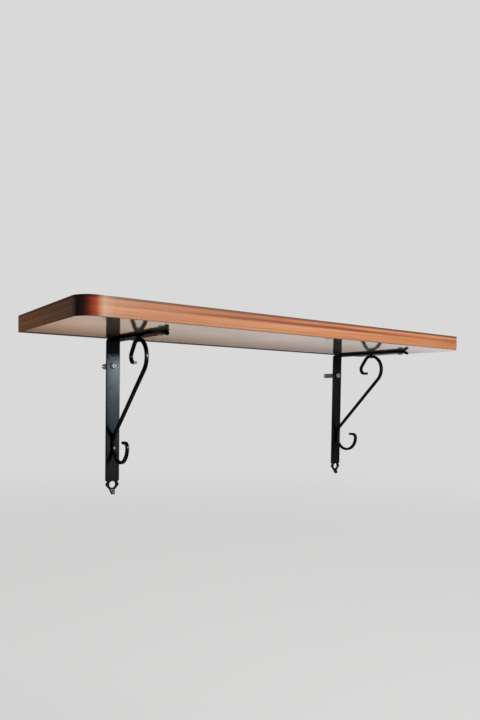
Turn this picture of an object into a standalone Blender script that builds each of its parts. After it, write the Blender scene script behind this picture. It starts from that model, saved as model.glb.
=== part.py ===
"""Wall shelf: a laminated board with two rounded front corners, carried by two scrolled iron brackets.

Metres, +Z up. The origin is the centre of the board's back edge, on the wall plane y = 0.
X runs along the shelf, the room is on the -Y side and the wall is on the +Y side.

Everything of a bracket is drawn in the bracket's own plane: x is the distance out from the wall,
y is the height above the board's underside (so it is negative), and z runs across the bar.
"""

from math import cos, pi, radians, sin

import bmesh
import bpy
from mathutils import Matrix, Vector

# Fit between touching pieces
GAP = 0.0003

# Board
SHELF_LENGTH = 0.600
SHELF_DEPTH = 0.200
SHELF_THICKNESS = 0.020
CORNER_RADIUS = 0.020
BAND_THICKNESS = 0.0010
LAMINATE_THICKNESS = 0.0008
CORNER_STEPS = 12

# Brackets: distance of each from the board's end
LEFT_INSET = 0.1220
RIGHT_INSET = 0.0585

# Flat bar, bent to an L
BAR_WIDTH = 0.019
BAR_THICKNESS = 0.003
LEG_LENGTH = 0.2045
ARM_LENGTH = 0.1455
BEND_RADIUS = 0.0035  # of the bar's middle line

# Shaped end of each limb
NIB_LENGTH = 0.0055
NIB_TILT = radians(30)
NIB_HALF_WIDTH = 0.0021
NECK_HALF_WIDTH = 0.0036
FLARE_START = 0.0123
NOTCH_START = 0.0165
NOTCH_END = 0.0180
NOTCH_DEPTH = 0.0022

# Holes in the bar
CORNER_HOLE_OFFSET = 0.0355  # from the wall or the board to the hole next to the bend
TIP_HOLE_OFFSET = 0.0125  # from the tip to the hole in the shaped end
SCREW_HOLE_RADIUS = 0.0026
LEG_TIP_HOLE_RADIUS = 0.0046

# Scroll, bent from square rod. Radii are of the rod's middle line.
ROD = 0.004
DIAGONAL_REACH = 0.1341  # where the 45 degree run, drawn on, would meet the board
LEG_BEND_RADIUS = 0.015
LEG_CONTACT_LENGTH = 0.0055  # the straight stretch that lies on the leg
LOWER_RADIUS = 0.0207
LOWER_HOOK_RADIUS = 0.0058
LOWER_TAIL_LENGTH = 0.0072
UPPER_RADIUS = 0.022
UPPER_CURL_TURN = radians(140)
UPPER_TURN_IN = (0.012, radians(49))  # radius, angle
UPPER_FLAT_LENGTH = 0.0135
UPPER_HOOK = (0.0075, radians(126))  # radius, angle
UPPER_TAIL_LENGTH = 0.0057

# Rivets that hold the scroll to the bar
RIVET_SHANK_RADIUS = 0.0009
RIVET_TAIL_RADIUS = 0.0016
RIVET_HEAD_RADIUS = 0.0020
RIVET_HEAD_HEIGHT = 0.0012
RIVET_TAIL_HEIGHT = 0.0010

# Screws and wall plugs
WALL_SCREW = {"head_radius": 0.0044, "head_height": 0.0026, "radius": 0.0022, "length": 0.030}
BOARD_SCREW = {"head_radius": 0.0040, "head_height": 0.0024, "radius": 0.0020, "length": 0.016}
PAN_HEAD = [(0.0, 1.0), (0.55, 0.95), (0.85, 0.70), (1.0, 0.30), (1.0, 0.0)]  # of radius, of height
RECESS_ARM = 0.62  # of the head's radius
RECESS_HALF_WIDTH = 0.14  # of the head's radius
RECESS_DEPTH = 0.70  # of the head's height
THREAD_PITCH = 0.0018
THREAD_DEPTH = 0.0006
PLUG_RADIUS = 0.0038
PLUG_LENGTH = 0.025
PLUG_SETBACK = 0.0025  # the plug's mouth lies this far inside the wall
PLUG_RIB = 0.0004
PLUG_RIBS = 7

TURN_STEPS = 16
DOME_STEPS = 4

# Colours: base colour, roughness, metallic
EDGE_WOOD = ("edge_wood", (0.62, 0.30, 0.13), 0.45, 0.0)
TOP_WOOD = ("top_wood", (0.60, 0.30, 0.14), 0.40, 0.0)
PALE_LAMINATE = ("pale_laminate", (0.62, 0.57, 0.50), 0.15, 0.0)
CHIPBOARD = ("chipboard", (0.52, 0.38, 0.23), 0.90, 0.0)
BLACK_IRON = ("black_iron", (0.012, 0.013, 0.015), 0.40, 0.6)
ZINC = ("zinc", (0.75, 0.75, 0.74), 0.30, 1.0)
PALE_NYLON = ("pale_nylon", (0.74, 0.73, 0.70), 0.55, 0.0)


# Scene, collections and materials


def clear_scene():
    for obj in list(bpy.data.objects):
        bpy.data.objects.remove(obj, do_unlink=True)


def new_collection(name):
    collection = bpy.data.collections.new(name)
    bpy.context.scene.collection.children.link(collection)
    return collection


def material(name, colour, roughness, metallic):
    found = bpy.data.materials.get(name)
    if found:
        return found
    made = bpy.data.materials.new(name)
    made.use_nodes = True
    shader = made.node_tree.nodes["Principled BSDF"]
    shader.inputs["Base Color"].default_value = (*colour, 1.0)
    shader.inputs["Roughness"].default_value = roughness
    shader.inputs["Metallic"].default_value = metallic
    made.diffuse_color = (*colour, 1.0)
    return made


def add_object(name, mesh, collection, finish=None, parent=None):
    obj = bpy.data.objects.new(name, mesh)
    collection.objects.link(obj)
    obj.parent = parent
    if finish:
        mesh.materials.append(material(*finish))
    return obj


# Shapes


def trace(start, heading, steps):
    """Points along straight runs (length, 0) and turns (radius, angle); a positive angle turns left."""
    points = [Vector(start)]
    for size, angle in steps:
        here = points[-1]
        if not angle:
            points.append(here + size * Vector((cos(heading), sin(heading))))
            continue
        side = 1 if angle > 0 else -1
        centre = here + side * size * Vector((-sin(heading), cos(heading)))
        count = max(3, round(abs(angle) / radians(9)))
        for i in range(1, count + 1):
            along = heading + angle * i / count
            points.append(centre + side * size * Vector((sin(along), -cos(along))))
        heading += angle
    return points


def mesh_from_curve(name, points, half_height, closed):
    """A 2D curve through the points, raised by half_height both ways. A closed one is filled."""
    curve = bpy.data.curves.new(name, "CURVE")
    curve.dimensions = "2D"
    curve.fill_mode = "BOTH" if closed else "NONE"
    curve.extrude = half_height
    spline = curve.splines.new("POLY")
    spline.points.add(len(points) - 1)
    for place, (x, y) in zip(spline.points, points):
        place.co = (x, y, 0.0, 1.0)
    spline.use_cyclic_u = closed
    guide = bpy.data.objects.new(name, curve)
    bpy.context.scene.collection.objects.link(guide)
    graph = bpy.context.evaluated_depsgraph_get()
    mesh = bpy.data.meshes.new_from_object(guide.evaluated_get(graph))
    bpy.data.objects.remove(guide)
    shape = bmesh.new()
    shape.from_mesh(mesh)
    bmesh.ops.remove_doubles(shape, verts=shape.verts, dist=1e-6)
    bmesh.ops.recalc_face_normals(shape, faces=shape.faces)
    shape.to_mesh(mesh)
    shape.free()
    mesh.name = name
    return mesh


def prism(name, outline, thickness, collection, **options):
    mesh = mesh_from_curve(name, outline, thickness / 2, closed=True)
    return add_object(name, mesh, collection, **options)


def strip(name, path, width, thickness, collection, **options):
    """A flat bar of the given width, standing on its path, thickened equally to both sides of it."""
    mesh = mesh_from_curve(name, path, width / 2, closed=False)
    obj = add_object(name, mesh, collection, **options)
    solid = obj.modifiers.new("thickness", "SOLIDIFY")
    solid.thickness = thickness
    solid.offset = 0.0
    solid.use_even_offset = True
    return obj


def turned(name, profile, collection, closed=False, **options):
    """A solid turned about Z. The profile holds (radius, height) pairs, down its outer side."""
    mesh = bpy.data.meshes.new(name)
    points = [(radius, 0.0, height) for radius, height in profile]
    edges = [(i, i + 1) for i in range(len(points) - 1)]
    if closed:
        edges.append((len(points) - 1, 0))
    mesh.from_pydata(points, edges, [])
    obj = add_object(name, mesh, collection, **options)
    spin = obj.modifiers.new("turn", "SCREW")
    spin.steps = spin.render_steps = TURN_STEPS
    spin.use_merge_vertices = True
    spin.merge_threshold = 1e-5
    spin.use_smooth_shade = True
    return obj


def place(obj, location, rotation=(0.0, 0.0, 0.0)):
    obj.location = location
    obj.rotation_euler = rotation
    return obj


def make_cutter(obj):
    obj.hide_render = True
    obj.display_type = "WIRE"
    return obj


def cut(obj, cutters):
    for cutter in cutters:
        hole = obj.modifiers.new(cutter.name, "BOOLEAN")
        hole.operation = "DIFFERENCE"
        hole.solver = "EXACT"
        hole.object = cutter


def bore(name, radius, length, collection, parent=None):
    """A round cutter centred on its own origin, along Z."""
    profile = [(0.0, length / 2), (radius, length / 2), (radius, -length / 2), (0.0, -length / 2)]
    return make_cutter(turned(name, profile, collection, parent=parent))


# Board


def board_outline(inset):
    """The board's outline, moved inwards: back left, round the two front corners, back right."""
    half = SHELF_LENGTH / 2 - inset
    front = -SHELF_DEPTH + inset
    radius = CORNER_RADIUS - inset
    points = [Vector((-half, 0.0))]
    for side, first, last in ((-1, pi, 1.5 * pi), (1, 1.5 * pi, 2 * pi)):
        for i in range(CORNER_STEPS + 1):
            angle = first + (last - first) * i / CORNER_STEPS
            centre = Vector((side * (half - radius), front + radius))
            points.append(centre + radius * Vector((cos(angle), sin(angle))))
    points.append(Vector((half, 0.0)))
    return points


def build_board(parts, cutters, screw_places):
    inside = board_outline(BAND_THICKNESS + GAP)
    core_height = SHELF_THICKNESS - 2 * (LAMINATE_THICKNESS + GAP)
    laminate_middle = (SHELF_THICKNESS - LAMINATE_THICKNESS) / 2

    core = prism("board_core", inside, core_height, parts, finish=CHIPBOARD)
    top = prism("top_laminate", inside, LAMINATE_THICKNESS, parts, finish=TOP_WOOD)
    bottom = prism("bottom_laminate", inside, LAMINATE_THICKNESS, parts, finish=PALE_LAMINATE)
    place(top, (0.0, 0.0, laminate_middle))
    place(bottom, (0.0, 0.0, -laminate_middle))

    middle_of_band = board_outline(BAND_THICKNESS / 2)
    strip("edge_band", middle_of_band, SHELF_THICKNESS, BAND_THICKNESS, parts, finish=EDGE_WOOD)

    # Pilot holes, each reaching as far below the board as above its underside
    depth = BOARD_SCREW["length"]
    for side, (x, y) in screw_places.items():
        pilot = bore(f"{side}_pilot_hole", BOARD_SCREW["radius"] + GAP, 2 * depth, cutters)
        place(pilot, (x, y, -SHELF_THICKNESS / 2))
        cut(core, [pilot])
        cut(bottom, [pilot])


# Bracket bar and its shaped ends


def bar_path():
    """The bar's middle line, from the leg's nib up to the board and out to the arm's nib."""
    half = BAR_THICKNESS / 2
    drop = NIB_LENGTH * sin(NIB_TILT)
    flat = NIB_LENGTH * cos(NIB_TILT)
    leg = LEG_LENGTH - flat - BEND_RADIUS - half - GAP
    arm = ARM_LENGTH - flat - BEND_RADIUS - half
    steps = [
        (NIB_LENGTH, 0),
        (BAR_THICKNESS, -NIB_TILT),
        (leg - BAR_THICKNESS * sin(NIB_TILT), 0),
        (BEND_RADIUS, -pi / 2),
        (arm - BAR_THICKNESS * sin(NIB_TILT), 0),
        (BAR_THICKNESS, -NIB_TILT),
        (NIB_LENGTH, 0),
    ]
    sag = BAR_THICKNESS * (1 - cos(NIB_TILT))
    return trace((half + drop + sag, -LEG_LENGTH), pi / 2 + NIB_TILT, steps)


def tip_offcut():
    """One side of what is cut away at a limb's end: x back from the tip, y outwards across the bar."""
    edge = BAR_WIDTH / 2
    clear = edge + BAR_THICKNESS
    return [
        (-BAR_THICKNESS, NIB_HALF_WIDTH),
        (0.0, NIB_HALF_WIDTH),
        (NIB_LENGTH, NECK_HALF_WIDTH),
        (FLARE_START, edge),
        (NOTCH_START, edge - NOTCH_DEPTH),
        (NOTCH_END, edge),
        (NOTCH_END, clear),
        (-BAR_THICKNESS, clear),
    ]


def tip_cutters(side, collection, frame):
    """Cutters for the shaped ends of the leg and of the arm, both sides of each."""
    across = Vector((0.0, 0.0, 1.0))
    limbs = {
        "leg": (Vector((0.0, -LEG_LENGTH, 0.0)), Vector((0.0, 1.0, 0.0))),
        "arm": (Vector((ARM_LENGTH, 0.0, 0.0)), Vector((-1.0, 0.0, 0.0))),
    }
    made = []
    for limb, (tip, back) in limbs.items():
        turn = Matrix((back, across, back.cross(across))).transposed().to_euler()
        name = f"{side}_{limb}_tip_offcut"
        offcut = prism(name, tip_offcut(), 8 * BAR_THICKNESS, collection, parent=frame)
        mirror = offcut.modifiers.new("other side", "MIRROR")
        mirror.use_axis = (False, True, False)
        mirror.use_mirror_merge = False
        made.append(make_cutter(place(offcut, tip, turn)))
    return made


def hole_cutters(side, collection, frame):
    """Cutters for the two holes in the leg and the two in the arm."""
    through_leg = (0.0, pi / 2, 0.0)
    through_arm = (pi / 2, 0.0, 0.0)
    holes = {
        "leg_upper": (SCREW_HOLE_RADIUS, (0.0, -CORNER_HOLE_OFFSET, 0.0), through_leg),
        "leg_tip": (LEG_TIP_HOLE_RADIUS, (0.0, TIP_HOLE_OFFSET - LEG_LENGTH, 0.0), through_leg),
        "arm_rear": (SCREW_HOLE_RADIUS, (CORNER_HOLE_OFFSET, 0.0, 0.0), through_arm),
        "arm_tip": (SCREW_HOLE_RADIUS, (ARM_LENGTH - TIP_HOLE_OFFSET, 0.0, 0.0), through_arm),
    }
    made = []
    for name, (radius, centre, rotation) in holes.items():
        cutter = bore(f"{side}_{name}_hole", radius, 6 * BAR_THICKNESS, collection, frame)
        made.append(place(cutter, centre, rotation))
    return made


# Scroll


def scroll_rests():
    """How far the scroll's middle line stays from the wall, and its height where it meets the arm."""
    clear = BAR_THICKNESS + GAP + ROD / 2
    return clear, -(clear + GAP)


def scroll_path():
    """The rod's middle line, from the end of the lower curl to the end of the upper one."""
    at_leg, at_arm = scroll_rests()
    slope = sin(pi / 4)
    bend_height = at_leg + LEG_BEND_RADIUS * (1 - 2 * slope) - DIAGONAL_REACH
    lower_middle = bend_height - LEG_CONTACT_LENGTH
    upper_middle = at_arm - UPPER_RADIUS
    diagonal_start = bend_height + LEG_BEND_RADIUS * slope
    diagonal_end = upper_middle - UPPER_RADIUS * slope
    start_reach = at_leg + 2 * LOWER_RADIUS - LOWER_HOOK_RADIUS - LOWER_TAIL_LENGTH
    steps = [
        (LOWER_TAIL_LENGTH, 0),
        (LOWER_HOOK_RADIUS, -pi / 2),
        (LOWER_RADIUS, -pi),
        (LEG_CONTACT_LENGTH, 0),
        (LEG_BEND_RADIUS, -pi / 4),
        ((diagonal_end - diagonal_start) / slope, 0),
        (UPPER_RADIUS, UPPER_CURL_TURN),
        UPPER_TURN_IN,
        (UPPER_FLAT_LENGTH, 0),
        UPPER_HOOK,
        (UPPER_TAIL_LENGTH, 0),
    ]
    return trace((start_reach, lower_middle + LOWER_HOOK_RADIUS), 0.0, steps)


def rivet_places():
    """Place of each rivet on the scroll's outer face, and the turn that points its head outwards."""
    at_leg, at_arm = scroll_rests()
    path = scroll_path()
    top = max(path, key=lambda point: point.y)
    nearest = min(point.x for point in path)
    foot = min(point.y for point in path if point.x < nearest + GAP / 10)
    leg_height = foot + LEG_CONTACT_LENGTH / 3
    return {
        "leg": ((at_leg + ROD / 2 + GAP, leg_height, 0.0), (0.0, pi / 2, 0.0)),
        "arm": ((top.x, at_arm - ROD / 2 - GAP, 0.0), (pi / 2, 0.0, 0.0)),
    }


# Fasteners. Each is drawn along Z with its head above z = 0 and its shank below.


def rivet_profile():
    grip = -(ROD + BAR_THICKNESS + 2 * GAP)
    dome = [
        (RIVET_HEAD_RADIUS * sin(angle), RIVET_HEAD_HEIGHT * cos(angle))
        for angle in (pi / 2 * i / DOME_STEPS for i in range(DOME_STEPS + 1))
    ]
    return [
        *dome,
        (RIVET_SHANK_RADIUS, 0.0),
        (RIVET_SHANK_RADIUS, grip + RIVET_TAIL_HEIGHT),
        (RIVET_TAIL_RADIUS, grip + GAP),
        (0.0, grip + GAP),
    ]


def rivet_clearance():
    """What the rivet's shank and flared tail need, run out past both faces."""
    grip = -(ROD + BAR_THICKNESS + 2 * GAP)
    past = BAR_THICKNESS
    return [
        (0.0, past),
        (RIVET_SHANK_RADIUS + GAP, past),
        (RIVET_SHANK_RADIUS + GAP, grip + RIVET_TAIL_HEIGHT),
        (RIVET_TAIL_RADIUS + GAP, grip),
        (RIVET_TAIL_RADIUS + GAP, grip - past),
        (0.0, grip - past),
    ]


def screw_profile(head_radius, head_height, radius, length):
    """A pan head, a plain neck, thread ridges and a point."""
    root = radius - THREAD_DEPTH
    neck = 2 * THREAD_PITCH
    point = 3 * radius
    ridges = int((length - neck - point) / THREAD_PITCH)
    profile = [(across * head_radius, up * head_height) for across, up in PAN_HEAD]
    profile += [(root, 0.0), (root, -neck)]
    for i in range(ridges):
        height = -neck - i * THREAD_PITCH
        profile.append((radius, height - 0.4 * THREAD_PITCH))
        profile.append((root, height - THREAD_PITCH))
    profile.append((0.0, -length))
    return profile


def cross_outline(arm, half):
    """A plus sign with arms that narrow outwards, anticlockwise."""
    narrow = 0.7 * half
    quarter = [(narrow, -arm), (half, -half), (arm, -narrow)]
    points = []
    for turn in range(4):
        for x, y in quarter:
            for _ in range(turn):
                x, y = -y, x
            points.append((x, y))
    return points


def build_screw(name, size, parts, cutters, frame, location, rotation):
    screw = turned(name, screw_profile(**size), parts, finish=ZINC, parent=frame)
    place(screw, location, rotation)
    outline = cross_outline(RECESS_ARM * size["head_radius"], RECESS_HALF_WIDTH * size["head_radius"])
    cutter_height = 2 * RECESS_DEPTH * size["head_height"]
    recess = make_cutter(prism(f"{name}_recess", outline, cutter_height, cutters, parent=screw))
    place(recess, (0.0, 0.0, size["head_height"]))
    cut(screw, [recess])


def plug_profile():
    """A ribbed sleeve, open at both ends."""
    inner = WALL_SCREW["radius"] + GAP
    pitch = PLUG_LENGTH / PLUG_RIBS
    outer = [(PLUG_RADIUS, 0.0)]
    for i in range(PLUG_RIBS):
        outer.append((PLUG_RADIUS, -(i + 0.6) * pitch))
        outer.append((PLUG_RADIUS - PLUG_RIB, -(i + 0.7) * pitch))
        outer.append((PLUG_RADIUS - PLUG_RIB, -(i + 1) * pitch))
    return [*outer, (inner, -PLUG_LENGTH), (inner, 0.0)]


def build_bracket(side, x, parts, cutters):
    frame = bpy.data.objects.new(f"{side}_bracket", None)
    parts.objects.link(frame)
    place(frame, (x, 0.0, -SHELF_THICKNESS / 2), (pi / 2, 0.0, -pi / 2))
    iron = {"finish": BLACK_IRON, "parent": frame}

    bar = strip(f"{side}_bar", bar_path(), BAR_WIDTH, BAR_THICKNESS, parts, **iron)
    cut(bar, tip_cutters(side, cutters, frame) + hole_cutters(side, cutters, frame))
    scroll = strip(f"{side}_scroll", scroll_path(), ROD, ROD, parts, **iron)

    for limb, (location, rotation) in rivet_places().items():
        place(turned(f"{side}_{limb}_rivet", rivet_profile(), parts, **iron), location, rotation)
        clearance = turned(f"{side}_{limb}_rivet_hole", rivet_clearance(), cutters, parent=frame)
        make_cutter(place(clearance, location, rotation))
        cut(bar, [clearance])
        cut(scroll, [clearance])

    out_of_wall = (0.0, pi / 2, 0.0)
    down = (pi / 2, 0.0, 0.0)
    under_arm = (ARM_LENGTH - TIP_HOLE_OFFSET, -(BAR_THICKNESS + 2 * GAP), 0.0)
    on_leg = (BAR_THICKNESS + GAP, -CORNER_HOLE_OFFSET, 0.0)
    in_wall = (-PLUG_SETBACK, -CORNER_HOLE_OFFSET, 0.0)
    build_screw(f"{side}_board_screw", BOARD_SCREW, parts, cutters, frame, under_arm, down)
    build_screw(f"{side}_wall_screw", WALL_SCREW, parts, cutters, frame, on_leg, out_of_wall)
    plug_options = {"closed": True, "finish": PALE_NYLON, "parent": frame}
    plug = turned(f"{side}_wall_plug", plug_profile(), parts, **plug_options)
    place(plug, in_wall, out_of_wall)


def main():
    clear_scene()
    parts = new_collection("wall_shelf")
    cutters = new_collection("cutters")
    bracket_x = {
        "left": -SHELF_LENGTH / 2 + LEFT_INSET,
        "right": SHELF_LENGTH / 2 - RIGHT_INSET,
    }
    screw_y = TIP_HOLE_OFFSET - ARM_LENGTH
    build_board(parts, cutters, {side: (x, screw_y) for side, x in bracket_x.items()})
    for side, x in bracket_x.items():
        build_bracket(side, x, parts, cutters)


main()
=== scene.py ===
"""Looks of the wall shelf: a laminated board on two scrolled iron brackets.

Everything is in metres, in the frame of the CAD model: X runs along the shelf, the room is on the
-Y side and the wall on the +Y side. Each piece replaces the CAD node that it is named after.

Bars and scrolls are drawn in the bracket's own plane, as in the CAD: x is the distance out from
the wall, y is the height above the board's underside, and z runs across the bar.
"""

from math import cos, pi, radians, sin

import bmesh
import bpy
from mathutils import Matrix, Vector, noise


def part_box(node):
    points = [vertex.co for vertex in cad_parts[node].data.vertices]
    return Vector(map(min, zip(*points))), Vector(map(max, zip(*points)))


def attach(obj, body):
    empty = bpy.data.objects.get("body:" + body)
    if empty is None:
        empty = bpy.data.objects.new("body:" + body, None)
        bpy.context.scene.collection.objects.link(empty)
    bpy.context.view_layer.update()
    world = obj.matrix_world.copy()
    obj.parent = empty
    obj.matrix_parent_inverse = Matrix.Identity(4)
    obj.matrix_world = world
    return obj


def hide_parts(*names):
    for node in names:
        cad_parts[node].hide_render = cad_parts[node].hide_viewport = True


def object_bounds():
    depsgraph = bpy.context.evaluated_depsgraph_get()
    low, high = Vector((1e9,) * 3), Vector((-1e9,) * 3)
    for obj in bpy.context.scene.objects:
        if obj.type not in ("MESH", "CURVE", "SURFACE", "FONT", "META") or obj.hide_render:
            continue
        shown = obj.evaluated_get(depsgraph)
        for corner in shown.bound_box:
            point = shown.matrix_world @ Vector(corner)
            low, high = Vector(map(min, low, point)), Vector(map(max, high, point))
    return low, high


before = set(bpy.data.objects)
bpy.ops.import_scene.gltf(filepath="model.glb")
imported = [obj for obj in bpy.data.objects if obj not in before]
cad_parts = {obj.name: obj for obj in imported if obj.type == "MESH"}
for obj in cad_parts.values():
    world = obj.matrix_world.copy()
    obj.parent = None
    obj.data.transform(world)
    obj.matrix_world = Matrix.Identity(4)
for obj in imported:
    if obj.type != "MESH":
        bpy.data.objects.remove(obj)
cad_low, cad_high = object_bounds()

SIDES = ("left", "right")
SHARP_ANGLE = radians(35)  # edges that turn by more than this look sharp
ARRIS_STEPS = 3  # in each rounded corner of a swept section
WELD_DISTANCE = 1e-6
CUT_TOLERANCE = 1e-7

# Board
BAND_THICKNESS = 0.0010
LAMINATE_THICKNESS = 0.0008
CORNER_RADIUS = 0.020
CORNER_STEPS = 24
SEAM = 0.00004  # what is left open between the board's layers
BAND_ARRIS = 0.00035
PLATE_ARRIS = 0.00012
PLATE_ARRIS_STEPS = 2
PILOT_RADIUS = 0.0019
PILOT_LENGTH = 0.04  # from a board screw's point to well below the board

# Bracket bar
BAR_WIDTH = 0.019
BAR_THICKNESS = 0.003
BAR_ARRIS = 0.0004
BAR_ARRIS_STEPS = 2
BAR_CROWN = 0.10  # how much thinner the bar's room side gets towards its edges
BEND_RADIUS = 0.0035
NIB_LENGTH = 0.0055
NIB_TILT = radians(30)
NIB_HALF_WIDTH = 0.0021
NECK_HALF_WIDTH = 0.0036
FLARE_START = 0.0123
NOTCH_START = 0.0165
NOTCH_END = 0.0180
NOTCH_DEPTH = 0.0022
CORNER_HOLE_OFFSET = 0.0355
TIP_HOLE_OFFSET = 0.0125
SCREW_HOLE_RADIUS = 0.0026
LEG_TIP_HOLE_RADIUS = 0.0046
RIVET_HOLE_RADIUS = 0.0017
HOLE_STEPS = 36
LENGTH_STEPS = 70  # along the whole bar
BEND_STEPS = 12  # in each bend
CROWN_STEPS = 5  # from the bar's middle to its edge

# Scroll
ROD = 0.004
ROD_ARRIS = 0.0004
ROD_STEP = 0.0012
END_TAPER_LENGTH = 0.010
END_TAPER = 0.10  # how much thinner the rod is hammered at its two ends
DIAGONAL_REACH = 0.1341
LEG_BEND_RADIUS = 0.015
LEG_CONTACT_LENGTH = 0.0055
LOWER_RADIUS = 0.0207
LOWER_HOOK_RADIUS = 0.0058
LOWER_TAIL_LENGTH = 0.0072
UPPER_RADIUS = 0.022
UPPER_CURL_TURN = radians(140)
UPPER_TURN_IN = (0.012, radians(49))  # radius and angle
UPPER_FLAT_LENGTH = 0.0135
UPPER_HOOK = (0.0075, radians(126))  # radius and angle
UPPER_TAIL_LENGTH = 0.0057
GAP = 0.0003  # between touching pieces in the CAD
FORGING = 0.00005  # mean depth of the uneven surface that forging leaves
FORGING_LENGTH = 0.012

# Fasteners
TURN_STEPS = 40
DOME_STEPS = 8
RIVET_HEAD_HEIGHT = 0.0012
RIVET_HEAD_RADIUS = 0.0020
RIVET_SHANK_RADIUS = 0.0009
RIVET_FLARE = (0.6, 0.4)  # where the tail widens, in bar thicknesses from its end
WALL_SCREW = {"head_radius": 0.0044, "head_height": 0.0026, "radius": 0.0022, "length": 0.030}
BOARD_SCREW = {"head_radius": 0.0040, "head_height": 0.0024, "radius": 0.0020, "length": 0.016}
HEAD_FLAT = 0.45  # share of a pan head's radius before it curves down
HEAD_RIM = 0.28  # share of a pan head's height that its edge stands up
HEAD_EASE = 0.0002
THREAD_PITCH = 0.0018
THREAD_DEPTH = 0.0006
THREAD_ROWS = 8  # rows of points in one pitch
RIDGE_HALF_WIDTH = 0.25  # of the thread's ridge, in pitches
NECK_LENGTH = 2 * THREAD_PITCH
FADE_LENGTH = 3 * THREAD_PITCH  # over which the ridge ends at the point
POINT_LENGTH = 3  # in shank radii
RECESS_REACH = 0.62  # from a head's middle to the end of the cross, in head radii
RECESS_HALF_WIDTH = 0.15  # of the cross's arms, in head radii
RECESS_NARROWING = 0.8  # of an arm towards its end
RECESS_TOP = (1.3, 1.0)  # height in head heights, and size
RECESS_BOTTOM = (0.25, 0.45)
PLUG_RIBS = 7
PLUG_RIB = 0.0004  # height of a rib
RIB_END, GROOVE_START, GROOVE_END = 0.60, 0.68, 0.96  # in one rib's length
PLUG_SLIT = 0.0007
PLUG_WHOLE = 0.35  # share of the plug before its slits start

# Camera, at the angle from which the shelf was seen
CAMERA_LOCATION = (-0.4918, -0.7031, -0.0818)
CAMERA_YAW = 0.6033
CAMERA_PITCH = -0.0352
CAMERA_ROLL = 0.0136
CAMERA_LENS = 28.53
CAMERA_SENSOR = 36.0
CAMERA_SHIFT = (0.0306, 0.0764)

# Floor
FLOOR_HEIGHT = -0.9
FLOOR_RADIUS = 6.0
FLOOR_STEPS = 96
FLOOR_FADE = (0.35, 0.95)  # where it starts to fade and where it is gone, in radii
FLOOR_GREY = 0.15
FLOOR_MOTTLE = 0.97  # its darkest grey, as a share
FLOOR_GLOW = 0.56

# Light. Azimuths of the surround run from straight behind the shelf (+Y) towards the right (+X).
BACKGROUND = (217, 217, 217)
SURROUND = [
    (-180, (0.13, 0.12, 0.12)),
    (-90, (0.12, 0.11, 0.10)),
    (-20, (0.30, 0.23, 0.17)),
    (5, (0.58, 0.38, 0.26)),
    (15, (0.88, 0.60, 0.44)),
    (21, (0.98, 0.76, 0.61)),
    (30, (0.92, 0.82, 0.70)),
    (42, (0.92, 0.85, 0.82)),
    (48, (0.82, 0.79, 0.76)),
    (58, (1.15, 1.08, 1.15)),
    (85, (0.85, 0.85, 0.90)),
    (110, (0.16, 0.16, 0.17)),
    (180, (0.13, 0.12, 0.12)),
]
STEEPEST_SHADE = 0.2
SHADE = [  # how steeply a direction drops towards the wall, and its tint
    (0.0, (1.0, 1.0, 1.0)),
    (0.03, (0.06, 0.03, 0.02)),
    (0.101, (0.06, 0.03, 0.02)),
    (0.108, (0.34, 0.21, 0.14)),
    (0.112, (0.66, 0.48, 0.36)),
    (0.118, (0.86, 0.68, 0.58)),
    (0.124, (0.95, 0.88, 0.83)),
    (0.131, (1.0, 1.0, 1.0)),
]
SHELF_MIDDLE = (0.0, -0.1, -0.05)
LEFT_LEG = (-0.18, 0.0, -0.07)

# Print of the edge band, in metres above the middle of its height
STREAK_HEIGHT = 0.0016
STREAK_WANDER = -0.0022  # how far the streak strays from it
STREAK_DARK, STREAK_GONE = 0.0004, 0.0026  # distances from the streak's middle
TOP_LINE = (0.0066, 0.0082)  # where the dark line starts and where it is full
BOTTOM_LINE = (-0.0098, -0.0082)  # where it is full and where it ends


# Materials


def srgb(red, green, blue):
    """A colour given in 0-255 display values, as the linear colour that shaders use."""
    return tuple(((value / 255 + 0.055) / 1.055) ** 2.4 for value in (red, green, blue)) + (1.0,)


def grey(value):
    return (value, value, value, 1.0)


def feed(tree, socket, value):
    """Gives an input socket its value, which may be another node's output socket."""
    if isinstance(value, bpy.types.NodeSocket):
        tree.links.new(value, socket)
    else:
        socket.default_value = value


def node(tree, kind, inputs=None, **settings):
    """A new shader node with its settings and inputs."""
    made = tree.nodes.new(kind)
    for key, value in settings.items():
        setattr(made, key, value)
    for key, value in (inputs or {}).items():
        feed(tree, made.inputs[key], value)
    return made


def new_material(name, roughness, metallic=0.0, specular=0.5):
    made = bpy.data.materials.new(name)
    made.use_nodes = True
    shader = made.node_tree.nodes["Principled BSDF"]
    shader.inputs["Roughness"].default_value = roughness
    shader.inputs["Metallic"].default_value = metallic
    shader.inputs["Specular IOR Level"].default_value = specular
    return made, made.node_tree, shader


def mapped(tree, scale, source="Object"):
    """Texture coordinates in metres, scaled along each axis."""
    coords = node(tree, "ShaderNodeTexCoord")
    inputs = {"Vector": coords.outputs[source], "Scale": scale}
    return node(tree, "ShaderNodeMapping", inputs).outputs[0]


def noise_texture(tree, vector, detail=3.0, roughness=0.55, scale=1.0):
    inputs = {"Vector": vector, "Scale": scale, "Detail": detail, "Roughness": roughness}
    return node(tree, "ShaderNodeTexNoise", inputs).outputs["Fac"]


def even_noise(tree, per_metre, detail=3.0, roughness=0.55):
    """Noise that is equally coarse along all axes."""
    return noise_texture(tree, mapped(tree, (per_metre,) * 3), detail, roughness)


def math(tree, operation, first, second=0.0):
    return node(tree, "ShaderNodeMath", {0: first, 1: second}, operation=operation).outputs[0]


def smooth_range(tree, value, low, high, to_low=0.0, to_high=1.0):
    inputs = {"Value": value, "From Min": low, "From Max": high, "To Min": to_low, "To Max": to_high}
    return node(tree, "ShaderNodeMapRange", inputs, interpolation_type="SMOOTHSTEP").outputs[0]


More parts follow.
